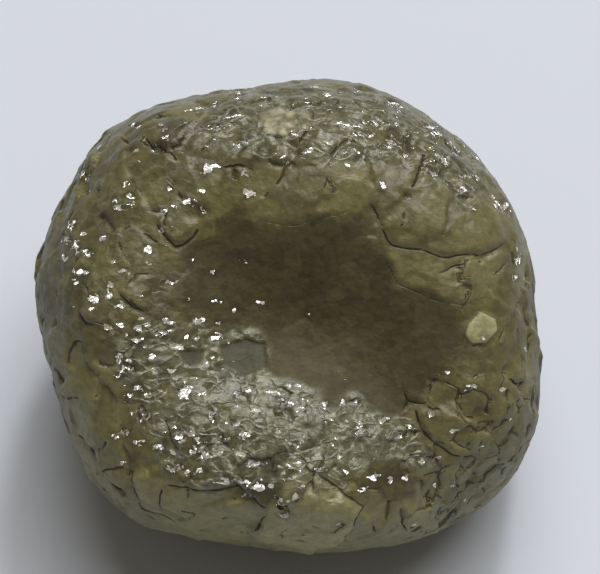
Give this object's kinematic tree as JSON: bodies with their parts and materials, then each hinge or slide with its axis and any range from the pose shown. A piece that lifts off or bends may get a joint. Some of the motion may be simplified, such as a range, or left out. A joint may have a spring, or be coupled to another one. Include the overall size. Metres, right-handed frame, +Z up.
{
  "type": "rough diamond",
  "caption": "Rounded, cushion-shaped grey-green rough diamond with a dished upper face and a crust of cracked plates and ledges, resting on a flat cleavage face.",
  "frame": {"origin": "under the middle of the stone's outline, on the surface that it rests on", "axes": "+Z up, +X along the stone's longest extent, and the dish opens upwards and towards -Y"},
  "size_m": [0.01, 0.01, 0.0086],
  "materials": {
    "diamond": "translucent grey-green diamond with a greasy lustre and small bright glints"
  },
  "bodies": {
    "root": {"rough_diamond": "diamond"}
  },
  "joints": []
}
